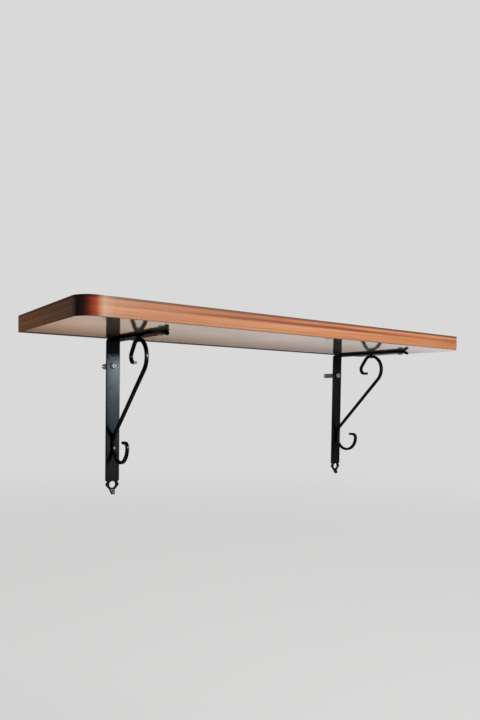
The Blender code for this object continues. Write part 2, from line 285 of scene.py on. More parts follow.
def mix(tree, factor, first, second, blend="MIX"):
    made = node(tree, "ShaderNodeMix", data_type="RGBA", blend_type=blend)
    colour_a, colour_b = (socket for socket in made.inputs if socket.type == "RGBA")
    for socket, value in ((made.inputs[0], factor), (colour_a, first), (colour_b, second)):
        feed(tree, socket, value)
    return next(socket for socket in made.outputs if socket.type == "RGBA")


def ramp(tree, factor, stops):
    """A colour ramp through (position, colour) stops."""
    made = node(tree, "ShaderNodeValToRGB", {"Fac": factor})
    elements = made.color_ramp.elements
    for index, (position, colour) in enumerate(stops):
        element = elements[index] if index < 2 else elements.new(position)
        element.position = position
        element.color = colour
    return made.outputs["Color"]


def bump(tree, shader, height, distance):
    made = node(tree, "ShaderNodeBump", {"Height": height, "Distance": distance})
    tree.links.new(made.outputs[0], shader.inputs["Normal"])


def wood_colour(tree, coarse, fine):
    """Printed grain along the first texture coordinate, from broad bands and fine fibres."""
    bands = noise_texture(tree, mapped(tree, (*coarse, 1.0), "UV"), detail=6.0, roughness=0.62)
    fibres = noise_texture(tree, mapped(tree, (*fine, 1.0), "UV"), detail=3.0)
    band_share = 0.72
    broad = math(tree, "MULTIPLY", bands, band_share)
    grain = math(tree, "ADD", broad, math(tree, "MULTIPLY", fibres, 1 - band_share))
    stops = [
        (0.34, srgb(158, 96, 62)),
        (0.45, srgb(197, 130, 88)),
        (0.54, srgb(214, 147, 103)),
        (0.66, srgb(226, 168, 126)),
    ]
    return ramp(tree, grain, stops), fibres


def along_ramp(tree, along, length, stops):
    """A colour ramp through (metres along the band, tint) stops."""
    share = math(tree, "DIVIDE", along, length)
    return ramp(tree, share, [(metres / length, (*tint, 1.0)) for metres, tint in stops])


def edge_wood(length):
    """Wood print of the edge band. It has a dark streak in its upper part and a dark line along each
    arris. Painted shade darkens its ends and turns near black round the left corner, and a painted
    sheen makes it pale just after that."""
    made, tree, shader = new_material("edge_wood", roughness=0.5, specular=0.3)
    colour, fibres = wood_colour(tree, coarse=(3.0, 260.0), fine=(16.0, 1500.0))
    place = mapped(tree, (1.0, 1.0, 1.0), "UV")
    along, height, _ = node(tree, "ShaderNodeSeparateXYZ", {"Vector": place}).outputs

    wander = noise_texture(tree, mapped(tree, (7.0, 0.0, 0.0), "UV"), detail=2.0)
    off_streak = math(tree, "ADD", height, math(tree, "MULTIPLY", wander, STREAK_WANDER))
    distance = math(tree, "ABSOLUTE", math(tree, "SUBTRACT", off_streak, STREAK_HEIGHT))
    streak = smooth_range(tree, distance, STREAK_DARK, STREAK_GONE, to_low=0.95, to_high=0.0)
    streak = math(tree, "MULTIPLY", streak, along_ramp(tree, along, length, streak_stops(length)))
    red_brown = srgb(144, 68, 40)
    colour = mix(tree, streak, colour, red_brown)

    upper = smooth_range(tree, height, *TOP_LINE, to_low=0.0, to_high=0.85)
    lower = smooth_range(tree, height, *BOTTOM_LINE, to_low=0.45, to_high=0.0)
    dark_brown = srgb(104, 62, 48)
    colour = mix(tree, math(tree, "MAXIMUM", upper, lower), colour, dark_brown)

    # painted sheen: a pale highlight on the front just after the left corner
    painted_sheen = along_ramp(tree, along, length, painted_sheen_stops())
    pale = srgb(240, 206, 178)
    colour = mix(tree, painted_sheen, colour, pale)
    # painted shade along the band: darker ends and corners, near black round the left corner
    tint = along_ramp(tree, along, length, painted_shade_stops(length))
    colour = mix(tree, 1.0, colour, tint, blend="MULTIPLY")
    tree.links.new(colour, shader.inputs["Base Color"])
    bump(tree, shader, fibres, 0.00002)
    return made


def grey_stops(strengths):
    """Ramp stops from (metres, strength) pairs."""
    return [(metres, (strength,) * 3) for metres, strength in strengths]


def streak_stops(length):
    """How strong the dark streak is along the band: faint near both ends of the front."""
    pairs = [(0.20, 0.25), (0.28, 0.40), (0.36, 0.95), (0.56, 1.0), (0.66, 0.45), (length, 0.55)]
    return grey_stops(pairs)


def left_corner():
    """How long the band's left end is up to the corner, and how long the corner itself is."""
    return -cad_low.y - CORNER_RADIUS, CORNER_RADIUS * pi / 2


def painted_sheen_stops():
    """How strong the painted sheen is along the band, a highlight that makes the print paler: most
    where the front starts after its left corner.
    """
    front = sum(left_corner())
    pairs = [(-0.002, 0.0), (0.001, 0.50), (0.015, 0.16), (0.045, 0.06), (0.110, 0.0)]
    return grey_stops((front + metres, strength) for metres, strength in pairs)


def painted_shade_stops(length):
    """The band's tint along its length, which is painted shade. It is dark on the ends, and near black
    round the left corner, where the band turns away from the light."""
    side, bend = left_corner()
    # painted shade on the left end and round the left corner
    left_painted_shade = [
        (0.0, (0.82, 0.84, 0.84)),
        (side * 0.35, (0.84, 0.78, 0.80)),
        (side * 0.52, (0.64, 0.66, 0.76)),
        (side - 0.012, (0.48, 0.60, 0.84)),
        (side + bend * 0.12, (0.34, 0.46, 0.64)),
        (side + bend * 0.21, (0.01, 0.01, 0.02)),
        (side + bend * 0.40, (0.02, 0.003, 0.01)),
        (side + bend * 0.56, (0.10, 0.02, 0.03)),
        (side + bend * 0.68, (0.56, 0.18, 0.13)),
        (side + bend * 0.95, (0.90, 0.40, 0.30)),
        (side + bend * 1.01, (1.0, 1.0, 1.0)),
        (0.36, (0.98, 0.93, 0.86)),
    ]
    right_front_end = length - side - bend
    # painted shade towards the right end and round the right corner
    plain = [
        (right_front_end - 0.05, (0.93, 0.86, 0.76)),
        (right_front_end + bend * 0.30, (0.82, 0.74, 0.66)),
        (right_front_end + bend * 0.55, (0.45, 0.38, 0.36)),
        (right_front_end + bend, (0.55, 0.48, 0.46)),
        (length, (0.60, 0.55, 0.55)),
    ]
    return left_painted_shade + plain


def top_wood():
    """Wood print of the top, in broader grain than the edge band's."""
    made, tree, shader = new_material("top_wood", roughness=0.6, specular=0.3)
    colour, fibres = wood_colour(tree, coarse=(1.6, 55.0), fine=(12.0, 700.0))
    tree.links.new(colour, shader.inputs["Base Color"])
    bump(tree, shader, fibres, 0.00003)
    return made


def pale_laminate():
    """Glossy cream laminate with a few specks. Painted shade makes it browner towards the wall and
    darker at it, standing in for the mirrored shadow under the shelf, and it is dull at the wall.
    """
    made, tree, shader = new_material("pale_laminate", roughness=0.09)
    place = mapped(tree, (1.0, 1.0, 1.0))
    _, from_wall, _ = node(tree, "ShaderNodeSeparateXYZ", {"Vector": place}).outputs
    cloud = even_noise(tree, 9.0, detail=4.0)
    colour = ramp(tree, cloud, [(0.35, srgb(176, 163, 146)), (0.65, srgb(196, 183, 166))])

    painted_shade_near_wall = smooth_range(tree, from_wall, -0.12, 0.0)
    # painted shade: browner towards the wall
    brown = srgb(112, 82, 60)
    colour = mix(tree, painted_shade_near_wall, colour, brown)
    painted_shade_at_wall = smooth_range(tree, from_wall, -0.030, -0.010)
    # painted shadow: darker brown right at the wall
    dark_brown = srgb(70, 52, 40)
    colour = mix(tree, painted_shade_at_wall, colour, dark_brown)

    dots = even_noise(tree, 420.0, detail=1.0)
    specks = smooth_range(tree, dots, 0.74, 0.78, to_high=0.5)
    speck_brown = srgb(110, 92, 76)
    colour = mix(tree, specks, colour, speck_brown)
    tree.links.new(colour, shader.inputs["Base Color"])
    gloss = smooth_range(tree, cloud, 0.3, 0.7, to_low=0.07, to_high=0.11)
    dull = math(tree, "MULTIPLY", painted_shade_at_wall, 0.6)
    tree.links.new(math(tree, "ADD", gloss, dull), shader.inputs["Roughness"])
    return made


def chipboard():
    """Sawn particle board: chips of many tones, pressed flat."""
    made, tree, shader = new_material("chipboard", roughness=0.92)
    flat_cells = mapped(tree, (330.0, 330.0, 900.0))
    chips = node(tree, "ShaderNodeTexVoronoi", {"Vector": flat_cells, "Scale": 1.0})
    tone = node(tree, "ShaderNodeSeparateColor", {"Color": chips.outputs["Color"]}).outputs[0]
    stops = [
        (0.0, srgb(120, 88, 56)),
        (0.35, srgb(172, 136, 94)),
        (0.7, srgb(198, 164, 118)),
        (1.0, srgb(222, 194, 150)),
    ]
    colour = ramp(tree, tone, stops)
    fibres = noise_texture(tree, mapped(tree, (900.0, 900.0, 2600.0)), detail=3.0)
    shadows = smooth_range(tree, fibres, 0.35, 0.65, to_low=0.35, to_high=0.0)
    dark_brown = srgb(92, 64, 40)
    colour = mix(tree, shadows, colour, dark_brown)
    tree.links.new(colour, shader.inputs["Base Color"])
    bump(tree, shader, math(tree, "ADD", tone, fibres), 0.00025)
    return made


def black_iron():
    """Satin black paint over forged iron, slightly uneven in tone, gloss and surface."""
    made, tree, shader = new_material("black_iron", roughness=0.28, metallic=1.0)
    shader.inputs["Specular Tint"].default_value = (0.06, 0.06, 0.06, 1.0)
    tone = even_noise(tree, 260.0, detail=5.0, roughness=0.7)
    colour = ramp(tree, tone, [(0.40, srgb(56, 60, 63)), (0.74, srgb(61, 66, 69))])
    tree.links.new(colour, shader.inputs["Base Color"])
    patches = even_noise(tree, 70.0)
    gloss = smooth_range(tree, patches, 0.3, 0.7, to_low=0.26, to_high=0.29)
    tree.links.new(gloss, shader.inputs["Roughness"])
    bump(tree, shader, even_noise(tree, 350.0, detail=1.0), 0.000008)
    return made


def zinc():
    """Bright zinc plating with a faint cloud."""
    made, tree, shader = new_material("zinc", roughness=0.48, metallic=1.0)
    cloud = even_noise(tree, 500.0)
    colour = ramp(tree, cloud, [(0.35, srgb(232, 232, 230)), (0.65, srgb(248, 248, 247))])
    tree.links.new(colour, shader.inputs["Base Color"])
    gloss = smooth_range(tree, cloud, 0.3, 0.7, to_low=0.44, to_high=0.52)
    tree.links.new(gloss, shader.inputs["Roughness"])
    return made


def recess_painted_shade():
    """The screws' driver recess: painted shade makes it dark, and it is dull."""
    made, tree, shader = new_material("recess_painted_shade", roughness=0.6, metallic=0.6)
    cloud = even_noise(tree, 900.0, detail=2.0)
    # painted shade in the driver recess
    colour = ramp(tree, cloud, [(0.35, srgb(34, 34, 34)), (0.65, srgb(52, 52, 50))])
    tree.links.new(colour, shader.inputs["Base Color"])
    return made


def pale_nylon():
    """White nylon with a fine moulded skin."""
    made, tree, shader = new_material("pale_nylon", roughness=0.5)
    cloud = even_noise(tree, 240.0)
    colour = ramp(tree, cloud, [(0.3, srgb(220, 219, 214)), (0.7, srgb(232, 231, 227))])
    tree.links.new(colour, shader.inputs["Base Color"])
    bump(tree, shader, even_noise(tree, 1800.0, detail=1.0), 0.00003)
    return made


# Shapes


def shade(mesh):
    """Makes the mesh smooth but for its sharp edges."""
    mesh.shade_smooth()
    mesh.set_sharp_from_angle(angle=SHARP_ANGLE)


def add_piece(name, shape):
    """A linked object from a bmesh, which it uses up."""
    mesh = bpy.data.meshes.new(name)
    shape.to_mesh(mesh)
    shape.free()
    obj = bpy.data.objects.new(name, mesh)
    bpy.context.scene.collection.objects.link(obj)
    shade(mesh)
    return obj


def stand_for(obj, cad_node, material):
    """Gives the piece its material, and puts it in the place of its CAD node."""
    left_by_plain_cutter = None in obj.data.materials[:]
    if left_by_plain_cutter:
        obj.data.materials.clear()
    if material.name not in obj.data.materials:
        obj.data.materials.append(material)
    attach(obj, "root")
    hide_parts(cad_node)


def weight_normals(obj):
    """Keeps the flat faces flat between their rounded edges."""
    made = obj.modifiers.new("flat faces", "WEIGHTED_NORMAL")
    made.keep_sharp = True


def cut(obj, cutters):
    """Cuts the cutters from the piece and removes them."""
    for cutter in cutters:
        made = obj.modifiers.new("cut", "BOOLEAN")
        made.operation = "DIFFERENCE"
        made.solver = "EXACT"
        made.material_mode = "TRANSFER"
        made.object = cutter
    graph = bpy.context.evaluated_depsgraph_get()
    mesh = bpy.data.meshes.new_from_object(obj.evaluated_get(graph))
    obj.modifiers.clear()
    obj.data = mesh
    shade(mesh)
    for cutter in cutters:
        bpy.data.objects.remove(cutter)
    return obj


def rounded_rectangle(width, height, radius):
    """An outline centred on its own origin, with rounded corners."""
    points = []
    for turn, (side_x, side_y) in enumerate(((1, 1), (-1, 1), (-1, -1), (1, -1))):
        centre = Vector((side_x * (width / 2 - radius), side_y * (height / 2 - radius)))
        for i in range(ARRIS_STEPS + 1):
            angle = (turn + i / ARRIS_STEPS) * pi / 2
            points.append(centre + radius * Vector((cos(angle), sin(angle))))
    return points


def sweep(name, path, section, thickness=None):
    """A solid of the given section along a flat path. Its UV is the length along the path, and the
    height. thickness scales the section's width at a length along the path."""
    shape = bmesh.new()
    grain = shape.loops.layers.uv.new("grain")
    rows, lengths = [], [0.0]
    for before, after in zip(path, path[1:]):
        lengths.append(lengths[-1] + (after - before).length)
    for i, point in enumerate(path):
        along = (path[min(i + 1, len(path) - 1)] - path[max(i - 1, 0)]).normalized()
        side = Vector((-along.y, along.x))
        scale = thickness(lengths[i], lengths[-1]) if thickness else 1.0
        row = []
        for offset, height in section:
            row.append(shape.verts.new((*(point + offset * scale * side), height)))
        rows.append(row)
    count = len(section)
    for i in range(len(rows) - 1):
        for j in range(count):
            after = (j + 1) % count
            face = shape.faces.new((rows[i][j], rows[i][after], rows[i + 1][after], rows[i + 1][j]))
            for loop, row in zip(face.loops, (i, i, i + 1, i + 1)):
                loop[grain].uv = (lengths[row], loop.vert.co.z)
    for row, length in ((rows[0], lengths[0]), (rows[-1], lengths[-1])):
        face = shape.faces.new(row)
        for loop in face.loops:
            loop[grain].uv = (length, loop.vert.co.z)
    bmesh.ops.recalc_face_normals(shape, faces=shape.faces)
    return add_piece(name, shape)


def plate(name, outline, low, high):
    """A flat plate with eased edges. Its UV is its place in the plane."""
    shape = bmesh.new()
    grain = shape.loops.layers.uv.new("grain")
    face = shape.faces.new([shape.verts.new((x, y, low)) for x, y in outline])
    lifted = bmesh.ops.extrude_face_region(shape, geom=[face])["geom"]
    moved = [item for item in lifted if isinstance(item, bmesh.types.BMVert)]
    bmesh.ops.translate(shape, verts=moved, vec=(0.0, 0.0, high - low))
    bmesh.ops.recalc_face_normals(shape, faces=shape.faces)
    rims = [edge for edge in shape.edges if edge.verts[0].co.z == edge.verts[1].co.z]
    ease = {"offset": PLATE_ARRIS, "segments": PLATE_ARRIS_STEPS, "profile": 0.5}
    bmesh.ops.bevel(shape, geom=rims, affect="EDGES", **ease)
    for face in shape.faces:
        for loop in face.loops:
            loop[grain].uv = loop.vert.co.xy
    return add_piece(name, shape)


def turned(name, profile, ripple=None):
    """A solid turned about Z from (radius, height) pairs, top to bottom. ripple adds to the radius."""
    shape = bmesh.new()
    rings = []
    for radius, height in profile:
        if radius == 0.0:
            rings.append([shape.verts.new((0.0, 0.0, height))])
            continue
        ring = []
        for i in range(TURN_STEPS):
            angle = 2 * pi * i / TURN_STEPS
            reach = radius + (ripple(height, angle) if ripple else 0.0)
            ring.append(shape.verts.new((reach * cos(angle), reach * sin(angle), height)))
        rings.append(ring)
    for upper, lower in zip(rings, rings[1:]):
        join_rings(shape, upper, lower)
    if len(rings[0]) > 1:
        join_rings(shape, rings[-1], rings[0])
    bmesh.ops.recalc_face_normals(shape, faces=shape.faces)
    return add_piece(name, shape)


def join_rings(shape, upper, lower):
    """Faces between two rings of points, either of which may be a single point."""
    for i in range(TURN_STEPS):
        after = (i + 1) % TURN_STEPS
        corners = [upper[i % len(upper)], upper[after % len(upper)]]
        corners += [lower[after % len(lower)], lower[i % len(lower)]]
        shape.faces.new(dict.fromkeys(corners))


def put(obj, location, tip=0.0):
    """Tips a piece's mesh about X and moves it to its place. The piece itself stays at the origin."""
    obj.data.transform(Matrix.Translation(location) @ Matrix.Rotation(tip, 4, "X"))
    return obj


def step_length(size, angle):
    """How long a step of a path is: a straight run (length, 0) or a turn (radius, angle)."""
    return size * abs(angle) if angle else size


def path_length(steps):
    return sum(step_length(*step) for step in steps)


def follow(start, heading, steps, distance):
    """Point and heading after a distance along runs and turns. The last step goes on beyond its end."""
    here = Vector(start)
    for index, (size, angle) in enumerate(steps):
        length = step_length(size, angle)
        part = min(distance, length) if index < len(steps) - 1 else distance
        if not angle:
            here = here + part * Vector((cos(heading), sin(heading)))
        else:
            side = 1 if angle > 0 else -1
            centre = here + side * size * Vector((-sin(heading), cos(heading)))
            heading += side * part / size
            here = centre + side * size * Vector((sin(heading), -cos(heading)))
        distance -= part
        if distance <= 0:
            break
    return here, heading


def centre_of(cad_node):
    low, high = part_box(cad_node)
    return (low + high) / 2


def uneven(point):
    """The shallow waviness that rolling and forging leave, -1 to 1."""
    return noise.noise(Vector(point) / FORGING_LENGTH)


# Board


def board_outline(inset):
    """The board's outline, moved inwards: back left, round the two front corners, back right."""
    half = cad_high.x - inset
    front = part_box("edge_band")[0].y + inset
    radius = CORNER_RADIUS - inset
    points = [Vector((-half, 0.0))]
    for side, first in ((-1, pi), (1, 1.5 * pi)):
        centre = Vector((side * (half - radius), front + radius))
        for i in range(CORNER_STEPS + 1):
            angle = first + pi / 2 * i / CORNER_STEPS
            points.append(centre + radius * Vector((cos(angle), sin(angle))))
    points.append(Vector((half, 0.0)))
    return points


def pilot_cutters():
    """A round cutter for each board screw."""
    made = []
    rod = [(0.0, 0.0), (PILOT_RADIUS, 0.0), (PILOT_RADIUS, -PILOT_LENGTH), (0.0, -PILOT_LENGTH)]
    for side in SIDES:
        screw = f"{side}_board_screw"
        centre, tip = centre_of(screw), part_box(screw)[1].z
        made.append(put(turned(f"{side}_pilot", rod), (centre.x, centre.y, tip + SEAM)))
    return made


def build_board():
    low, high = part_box("edge_band")
    middle = board_outline(BAND_THICKNESS / 2)
    section = rounded_rectangle(BAND_THICKNESS, high.z - low.z, BAND_ARRIS)
    band = sweep("edge_band_print", middle, section)
    length = sum((after - before).length for before, after in zip(middle, middle[1:]))
    stand_for(band, "edge_band", edge_wood(length))

    inside = board_outline(BAND_THICKNESS + SEAM)
    top_low, bottom_high = high.z - LAMINATE_THICKNESS, low.z + LAMINATE_THICKNESS
    top = plate("top_laminate_print", inside, top_low, high.z)
    bottom = plate("bottom_laminate_gloss", inside, low.z, bottom_high)
    core = plate("board_core_chips", inside, bottom_high + SEAM, top_low - SEAM)
    stand_for(top, "top_laminate", top_wood())
    stand_for(cut(bottom, pilot_cutters()), "bottom_laminate", pale_laminate())
    stand_for(cut(core, pilot_cutters()), "board_core", chipboard())
    for piece in (band, top, bottom, core):
        weight_normals(piece)


# Bracket bar


def bar_steps(leg_length, arm_length):
    """The bar's middle line as runs and turns: from the leg's nib up, and out to the arm's nib."""
    half = BAR_THICKNESS / 2
    flat = NIB_LENGTH * cos(NIB_TILT)
    tilt_run = BAR_THICKNESS * sin(NIB_TILT)
    leg = leg_length - flat - BEND_RADIUS - half - GAP - tilt_run
    arm = arm_length - flat - BEND_RADIUS - half - tilt_run
    return [
        (NIB_LENGTH, 0),
        (BAR_THICKNESS, -NIB_TILT),
        (leg, 0),
        (BEND_RADIUS, -pi / 2),
        (arm, 0),
        (BAR_THICKNESS, -NIB_TILT),
        (NIB_LENGTH, 0),
    ]


def tip_slack():
    """How much longer a limb is along its tilted nib than straight down from its tip."""
    return NIB_LENGTH * (1 - cos(NIB_TILT)) + BAR_THICKNESS * (NIB_TILT - sin(NIB_TILT))


def blank_outline(length):
    """The flat blank of the bar: x along it, y across it."""
    edge, slack = BAR_WIDTH / 2, tip_slack()
    tip = [
        (0.0, NIB_HALF_WIDTH),
        (NIB_LENGTH + slack, NECK_HALF_WIDTH),
        (FLARE_START + slack, edge),
        (NOTCH_START + slack, edge - NOTCH_DEPTH),
        (NOTCH_END + slack, edge),
    ]
    one_side = tip + [(length - x, y) for x, y in reversed(tip)]
    return [(x, -y) for x, y in one_side] + [(x, y) for x, y in reversed(one_side)]


def hole_outline(distance, radius):
    """A hole on the blank's middle line. It runs the other way round than the outer outline."""
    angles = [-2 * pi * i / HOLE_STEPS for i in range(HOLE_STEPS)]
    return [(distance + radius * cos(angle), radius * sin(angle)) for angle in angles]


def blank_mesh(name, outlines):
    """The blank with its holes, 2D curves filled and raised, with rounded edges."""
    curve = bpy.data.curves.new(name, "CURVE")
    curve.dimensions = "2D"
    curve.fill_mode = "BOTH"
    curve.bevel_depth = BAR_ARRIS
    curve.bevel_resolution = BAR_ARRIS_STEPS
    curve.extrude = BAR_THICKNESS / 2 - BAR_ARRIS
    curve.offset = -BAR_ARRIS
    for outline in outlines:
        spline = curve.splines.new("POLY")
        spline.points.add(len(outline) - 1)
        for point, (x, y) in zip(spline.points, outline):
            point.co = (x, y, 0.0, 1.0)
        spline.use_cyclic_u = True
    guide = bpy.data.objects.new(name, curve)
    bpy.context.scene.collection.objects.link(guide)
    graph = bpy.context.evaluated_depsgraph_get()
    mesh = bpy.data.meshes.new_from_object(guide.evaluated_get(graph))
    bpy.data.objects.remove(guide)
    return mesh


def cut_across(shape, places, direction):
    """Cuts every face of the shape at each place along a direction, so that it can bend there."""
    for place in places:
        everything = shape.verts[:] + shape.edges[:] + shape.faces[:]
        plane = {"plane_co": direction * place, "plane_no": direction}
        bmesh.ops.bisect_plane(shape, geom=everything, dist=CUT_TOLERANCE, **plane)


def hole_outlines(length, leg_length, arm_length, rivet_height, rivet_reach):
    """Three holes in the leg, placed from the blank's start, and three in the arm, from its end."""
    leg_holes = [
        (TIP_HOLE_OFFSET, LEG_TIP_HOLE_RADIUS),
        (leg_length - CORNER_HOLE_OFFSET, SCREW_HOLE_RADIUS),
        (leg_length + rivet_height, RIVET_HOLE_RADIUS),
    ]
    arm_holes = [
        (TIP_HOLE_OFFSET, SCREW_HOLE_RADIUS),
        (arm_length - CORNER_HOLE_OFFSET, SCREW_HOLE_RADIUS),
        (arm_length - rivet_reach, RIVET_HOLE_RADIUS),
    ]
    slack = tip_slack()
    outlines = [hole_outline(from_tip + slack, radius) for from_tip, radius in leg_holes]
    outlines += [hole_outline(length - from_tip - slack, radius) for from_tip, radius in arm_holes]
    return outlines


def bend_places(steps, length):
    """Where the blank is cut across so that it can bend: all along it, and closer in the bends."""
    places = [length * i / LENGTH_STEPS for i in range(1, LENGTH_STEPS)]
    reach = 0.0
    for size, angle in steps:
        run = step_length(size, angle)
        if angle:
            places += [reach + run * i / BEND_STEPS for i in range(BEND_STEPS + 1)]
        reach += run
    return places


def bend_blank(shape, leg_length, steps):
    """Lays the blank along the bar's middle line. The side with the scroll gets a crown and an uneven
    skin."""
    half, edge = BAR_THICKNESS / 2, BAR_WIDTH / 2
    sag = BAR_THICKNESS * (1 - cos(NIB_TILT))
    start = (half + NIB_LENGTH * sin(NIB_TILT) + sag, -leg_length)
    for vert in shape.verts:
        distance, across, depth = vert.co
        here, heading = follow(start, pi / 2 + NIB_TILT, steps, distance)
        if depth < 0.0:
            depth *= 1 - BAR_CROWN * (across / edge) ** 2
            depth += FORGING * (1 + uneven((distance, across, 0.0)))
        normal = Vector((-sin(heading), cos(heading)))
        vert.co = (*(here + depth * normal), across)
    bmesh.ops.recalc_face_normals(shape, faces=shape.faces)


def build_bar(side, leg_length, arm_length, rivet_height, rivet_reach, at_bracket, iron):
    steps = bar_steps(leg_length, arm_length)
    length = path_length(steps)
    holes = hole_outlines(length, leg_length, arm_length, rivet_height, rivet_reach)
    shape = bmesh.new()
    shape.from_mesh(blank_mesh(f"{side}_blank", [blank_outline(length), *holes]))
    bmesh.ops.remove_doubles(shape, verts=shape.verts, dist=WELD_DISTANCE)
    cut_across(shape, bend_places(steps, length), Vector((1.0, 0.0, 0.0)))
    across = [BAR_WIDTH / 2 * i / CROWN_STEPS for i in range(1 - CROWN_STEPS, CROWN_STEPS)]
    cut_across(shape, across, Vector((0.0, 1.0, 0.0)))
    bend_blank(shape, leg_length, steps)
    bar = add_piece(f"{side}_bar_forged", shape)
    bar.data.transform(at_bracket)
    weight_normals(bar)
    stand_for(bar, f"{side}_bar", iron)


# Scroll


def scroll_line():
    """Where the scroll starts, and its runs and turns from the lower curl's end to the upper one's."""
    at_leg = BAR_THICKNESS + GAP + ROD / 2
    at_arm = -(at_leg + GAP)
    slope = sin(pi / 4)
    bend_height = at_leg + LEG_BEND_RADIUS * (1 - 2 * slope) - DIAGONAL_REACH
    lower_middle = bend_height - LEG_CONTACT_LENGTH
    diagonal_start = bend_height + LEG_BEND_RADIUS * slope
    diagonal_end = at_arm - UPPER_RADIUS * (1 + slope)
    start_reach = at_leg + 2 * LOWER_RADIUS - LOWER_HOOK_RADIUS - LOWER_TAIL_LENGTH
    steps = [
        (LOWER_TAIL_LENGTH, 0),
        (LOWER_HOOK_RADIUS, -pi / 2),
        (LOWER_RADIUS, -pi),
        (LEG_CONTACT_LENGTH, 0),
        (LEG_BEND_RADIUS, -pi / 4),
        ((diagonal_end - diagonal_start) / slope, 0),
        (UPPER_RADIUS, UPPER_CURL_TURN),
        UPPER_TURN_IN,
        (UPPER_FLAT_LENGTH, 0),
        UPPER_HOOK,
        (UPPER_TAIL_LENGTH, 0),
    ]
    return (start_reach, lower_middle + LOWER_HOOK_RADIUS), steps


def rod_thickness(distance, length):
    """The rod's thickness as a share: it is hammered thinner towards both ends."""
    near_end = max(0.0, 1 - min(distance, length - distance) / END_TAPER_LENGTH)
    return 1 - END_TAPER * near_end**2


def build_scroll(side, at_bracket, iron):
    start, steps = scroll_line()
    length = path_length(steps)
    count = round(length / ROD_STEP)
    path = [follow(start, 0.0, steps, length * i / count)[0] for i in range(count + 1)]
    section = rounded_rectangle(ROD, ROD, ROD_ARRIS)
    scroll = sweep(f"{side}_scroll_forged", path, section, rod_thickness)
    for vert in scroll.data.vertices:
        vert.co -= vert.normal * FORGING * (1 + uneven(vert.co))
    scroll.data.transform(at_bracket)
    stand_for(scroll, f"{side}_scroll", iron)


# Fasteners. Each is drawn along Z, its head above z = 0 and its shank below.


def seat(fastener, cad_node, head_height, head_direction):
    """Puts a fastener where its CAD node is, with its head out to the room or down."""
    centre, low = centre_of(cad_node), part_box(cad_node)[0]
    if head_direction == "out":
        put(fastener, (centre.x, low.y + head_height, centre.z), pi / 2)
    else:
        put(fastener, (centre.x, centre.y, low.z + head_height), pi)


def build_rivet(cad_node, head_direction, iron):
    low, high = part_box(cad_node)
    length = max(high - low) - RIVET_HEAD_HEIGHT
    angles = [pi / 2 * i / DOME_STEPS for i in range(DOME_STEPS + 1)]
    dome = [(RIVET_HEAD_RADIUS * sin(angle), RIVET_HEAD_HEIGHT * cos(angle)) for angle in angles]
    tail = RIVET_HOLE_RADIUS - SEAM
    flare_start, flare_end = RIVET_FLARE
    profile = [
        *dome,
        (RIVET_SHANK_RADIUS, 0.0),
        (RIVET_SHANK_RADIUS, -length + BAR_THICKNESS * flare_start),
        (tail, -length + BAR_THICKNESS * flare_end),
        (tail, -length),
        (0.0, -length),
    ]
    rivet = turned(f"{cad_node}_domed", profile)
    seat(rivet, cad_node, RIVET_HEAD_HEIGHT, head_direction)
    stand_for(rivet, cad_node, iron)


def screw_profile(head_radius, head_height, radius, length):
    """A pan head, a plain neck, a shank fine enough to carry the thread, and a point."""
    root, point = radius - THREAD_DEPTH, POINT_LENGTH * radius
    profile = [(0.0, head_height)]
    for i in range(1, DOME_STEPS + 1):
        angle = pi / 2 * i / DOME_STEPS
        reach = HEAD_FLAT + (1 - HEAD_FLAT) * sin(angle)
        rise = HEAD_RIM + (1 - HEAD_RIM) * cos(angle)
        profile.append((head_radius * reach, head_height * rise))
    profile += [(head_radius, HEAD_EASE), (head_radius - HEAD_EASE, 0.0), (root, 0.0)]
    step = THREAD_PITCH / THREAD_ROWS
    count = int((length - NECK_LENGTH - point) / step)
    profile += [(root, -NECK_LENGTH - i * step) for i in range(count + 1)]
    tip_start = NECK_LENGTH + count * step
    tip_count = int(point / step)
    for i in range(1, tip_count):
        depth = tip_start + (length - tip_start) * i / tip_count
        profile.append((root * (1 - i / tip_count), -depth))
    return profile + [(0.0, -length)]


def thread(length):
    """The ridge that winds round the shank, growing after the neck and fading at the point."""

    def ripple(height, angle):
        below_neck = -height - NECK_LENGTH
        if below_neck < 0:
            return 0.0
        turn = (height / THREAD_PITCH + angle / (2 * pi)) % 1.0
        ridge = max(0.0, 1 - abs(turn - 0.5) / RIDGE_HALF_WIDTH)
        fade = min(1.0, below_neck / THREAD_PITCH, (length + height) / FADE_LENGTH)
        return THREAD_DEPTH * ridge * fade

    return ripple


def recess_cutter(name, head_radius, head_height):
    """A cross that narrows downwards."""
    shape = bmesh.new()
    arm, half = RECESS_REACH * head_radius, RECESS_HALF_WIDTH * head_radius
    end_half = half * RECESS_NARROWING
    rings = []
    for height, size in (RECESS_TOP, RECESS_BOTTOM):
        ring = []
        for turn in range(4):
            for x, y in ((end_half, -arm), (half, -half), (arm, -end_half)):
                for _ in range(turn):
                    x, y = -y, x
                ring.append(shape.verts.new((x * size, y * size, head_height * height)))
        shape.faces.new(ring)
        rings.append(ring)
    upper, lower = rings
    for i in range(len(upper)):
        after = (i + 1) % len(upper)
        shape.faces.new((upper[i], upper[after], lower[after], lower[i]))
    bmesh.ops.recalc_face_normals(shape, faces=shape.faces)
    return add_piece(name, shape)


def build_screw(cad_node, size, head_direction, coating, recess_shade_coating):
    screw = turned(f"{cad_node}_threaded", screw_profile(**size), thread(size["length"]))
    screw.data.materials.append(coating)
    cutter = recess_cutter(f"{cad_node}_recess", size["head_radius"], size["head_height"])
    cutter.data.materials.append(recess_shade_coating)
    cut(screw, [cutter])
    seat(screw, cad_node, size["head_height"], head_direction)
    stand_for(screw, cad_node, coating)


